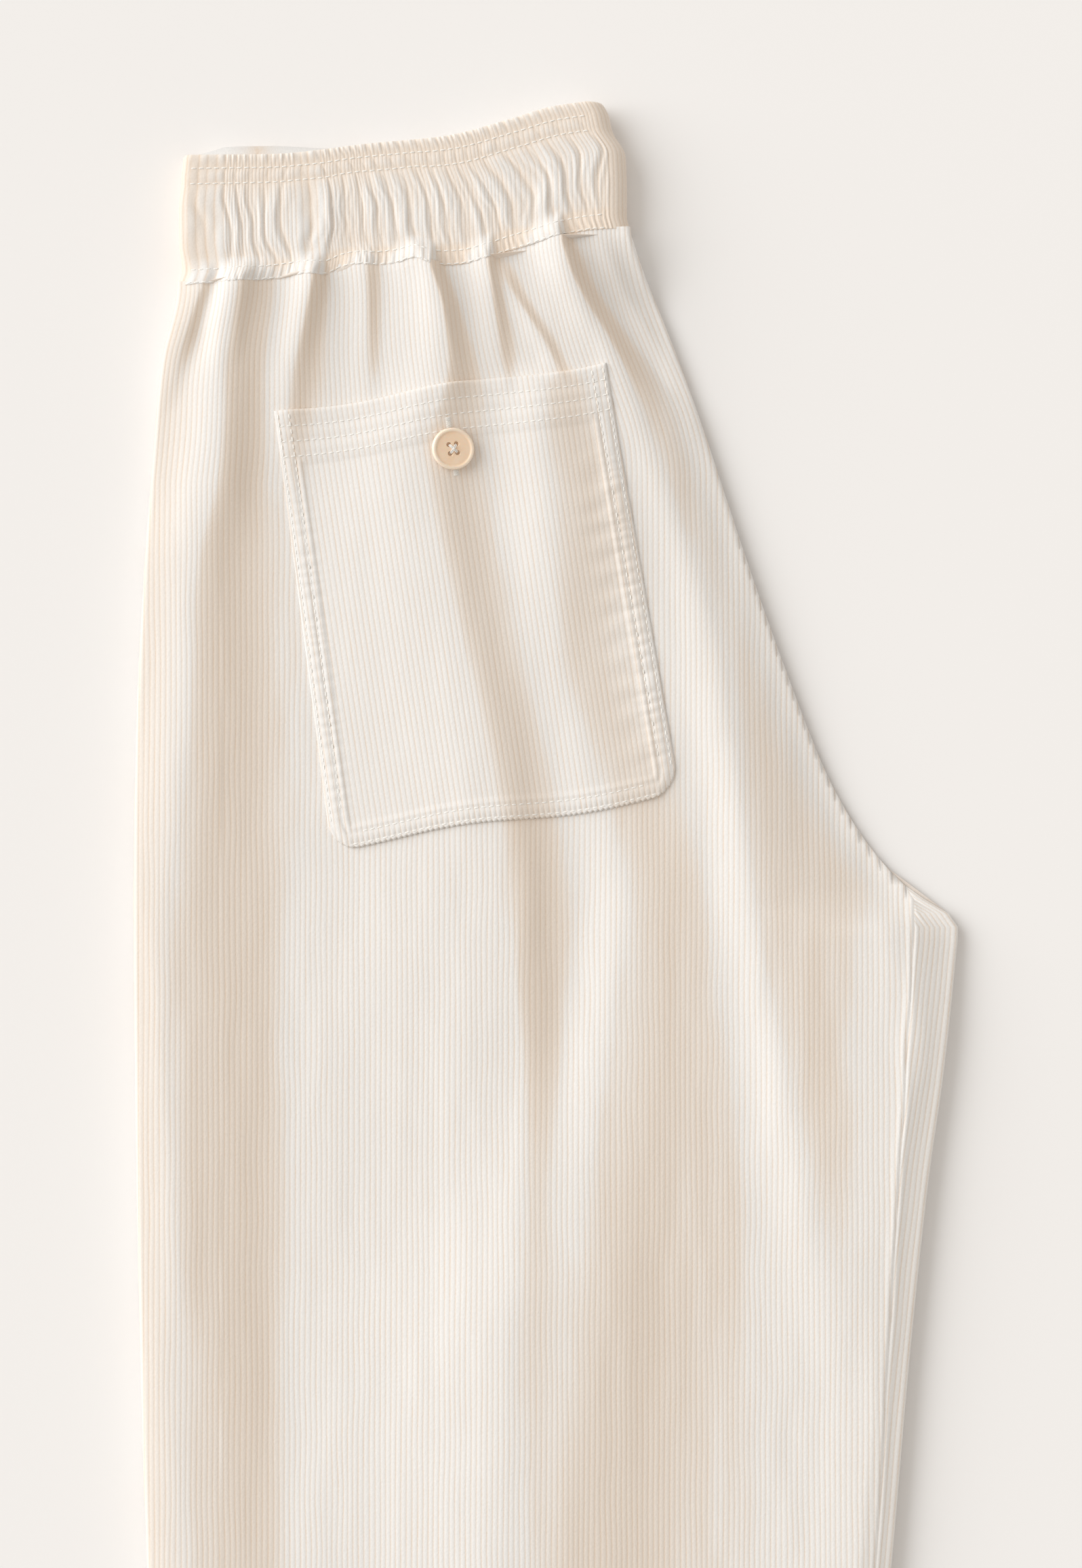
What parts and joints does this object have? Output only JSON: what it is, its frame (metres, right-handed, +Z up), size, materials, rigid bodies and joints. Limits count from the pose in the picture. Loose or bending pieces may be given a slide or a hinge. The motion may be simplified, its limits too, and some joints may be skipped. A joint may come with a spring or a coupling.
{
  "type": "cropped trousers, folded flat",
  "caption": "Cropped straight-leg corduroy trousers with a gathered elastic waist and a buttoned back patch pocket, folded in half lengthwise and laid flat.",
  "frame": {"origin": "middle of the part's box, on the surface that the folded trousers lie on", "axes": "+Y from the hems to the waist, +X from the side seams to the seat seam, +Z up from the surface"},
  "size_m": [0.3566, 0.991, 0.0215],
  "materials": {
    "corduroy": "cream cotton corduroy, brushed, matt",
    "horn": "pale horn-coloured, half matt"
  },
  "bodies": {
    "root": {"back_left": "corduroy", "back_right": "corduroy", "fronts": "corduroy", "waistband": "corduroy", "back_pocket": "corduroy", "button": "horn"}
  },
  "joints": []
}
